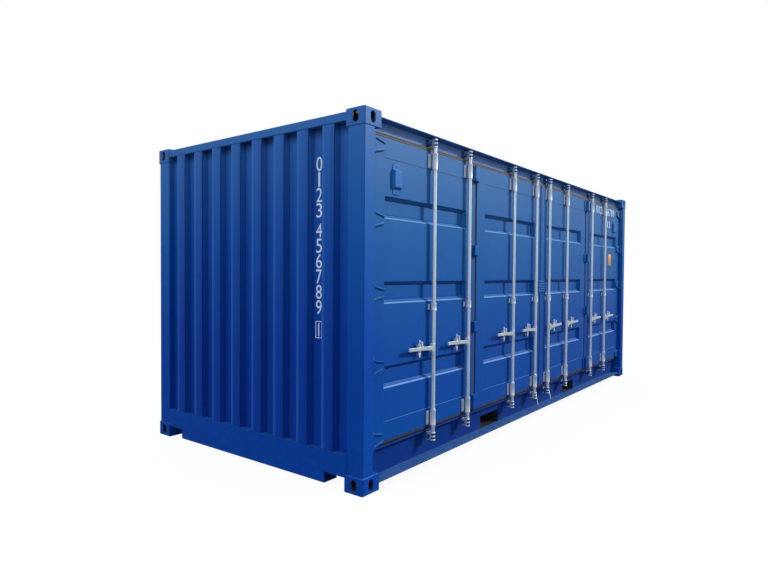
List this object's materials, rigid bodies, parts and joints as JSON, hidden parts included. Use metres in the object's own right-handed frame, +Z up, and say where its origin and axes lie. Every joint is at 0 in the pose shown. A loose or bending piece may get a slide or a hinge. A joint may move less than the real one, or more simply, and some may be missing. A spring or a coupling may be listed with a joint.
{
  "type": "side door shipping container",
  "caption": "Steel cargo box with corner castings, corrugated walls, folding side doors held by turning lock rods, and fork pockets under the floor.",
  "frame": {"origin": "on the ground under the middle of the container", "axes": "+Z up, X along the container with the visible blind end at -X, the door side faces -Y"},
  "size_m": [6.058, 2.438, 2.591],
  "materials": {
    "blue_paint": "satin marine paint",
    "zinc_steel": "hot-dip galvanised",
    "seal_rubber": "matt rubber",
    "plywood": "sealed plywood",
    "vent_plastic": "painted over"
  },
  "bodies": {
    "container": {"top_castings": "blue_paint", "bottom_castings": "blue_paint", "left_door_post": "blue_paint", "right_door_post": "blue_paint", "left_back_post": "blue_paint", "right_back_post": "blue_paint", "door_sill": "blue_paint", "back_bottom_rail": "blue_paint", "left_end_sill": "blue_paint", "right_end_sill": "blue_paint", "door_header": "blue_paint", "back_top_rail": "blue_paint", "left_end_header": "blue_paint", "right_end_header": "blue_paint", "left_end_wall": "blue_paint", "right_end_wall": "blue_paint", "back_wall": "blue_paint", "roof_panel": "blue_paint", "cross_members": "blue_paint", "fork_pockets": "blue_paint", "door_leaf_1": "blue_paint", "door_leaf_2": "blue_paint", "door_leaf_3": "blue_paint", "door_leaf_4": "blue_paint", "left_post_hinges": "blue_paint", "right_post_hinges": "blue_paint", "left_fold_hinges": "blue_paint", "right_fold_hinges": "blue_paint", "upper_keepers": "blue_paint", "lower_keepers": "blue_paint", "overlap_plate": "blue_paint", "upright_seals": "seal_rubber", "lower_seal": "seal_rubber", "upper_seal": "seal_rubber", "upper_bearings": "zinc_steel", "lower_bearings": "zinc_steel", "middle_guides": "zinc_steel", "handle_retainers": "zinc_steel", "floor_boards": "plywood", "vents": "vent_plastic"},
    "rod_1": {"lock_rod_1": "zinc_steel"},
    "rod_2": {"lock_rod_2": "zinc_steel"},
    "rod_3": {"lock_rod_3": "zinc_steel"},
    "rod_4": {"lock_rod_4": "zinc_steel"},
    "rod_5": {"lock_rod_5": "zinc_steel"},
    "rod_6": {"lock_rod_6": "zinc_steel"},
    "rod_7": {"lock_rod_7": "zinc_steel"},
    "rod_8": {"lock_rod_8": "zinc_steel"}
  },
  "joints": [
    {"name": "rod_1_turn", "type": "hinge", "parent": "container", "child": "rod_1", "pos_m": [-2.147, -1.1975, 1.3575], "axis": [0, 0, 1], "range_deg": [0, 100]},
    {"name": "rod_2_turn", "type": "hinge", "parent": "container", "child": "rod_2", "pos_m": [-1.5985, -1.1975, 1.3575], "axis": [0, 0, 1], "range_deg": [0, 100]},
    {"name": "rod_3_turn", "type": "hinge", "parent": "container", "child": "rod_3", "pos_m": [-0.7185, -1.1975, 1.3575], "axis": [0, 0, 1], "range_deg": [0, 100]},
    {"name": "rod_4_turn", "type": "hinge", "parent": "container", "child": "rod_4", "pos_m": [-0.176, -1.1975, 1.3575], "axis": [0, 0, 1], "range_deg": [0, 100]},
    {"name": "rod_5_turn", "type": "hinge", "parent": "container", "child": "rod_5", "pos_m": [0.176, -1.1975, 1.3575], "axis": [0, 0, 1], "range_deg": [-100, 0]},
    {"name": "rod_6_turn", "type": "hinge", "parent": "container", "child": "rod_6", "pos_m": [0.7185, -1.1975, 1.3575], "axis": [0, 0, 1], "range_deg": [-100, 0]},
    {"name": "rod_7_turn", "type": "hinge", "parent": "container", "child": "rod_7", "pos_m": [1.5985, -1.1975, 1.3575], "axis": [0, 0, 1], "range_deg": [-100, 0]},
    {"name": "rod_8_turn", "type": "hinge", "parent": "container", "child": "rod_8", "pos_m": [2.147, -1.1975, 1.3575], "axis": [0, 0, 1], "range_deg": [-100, 0]}
  ]
}
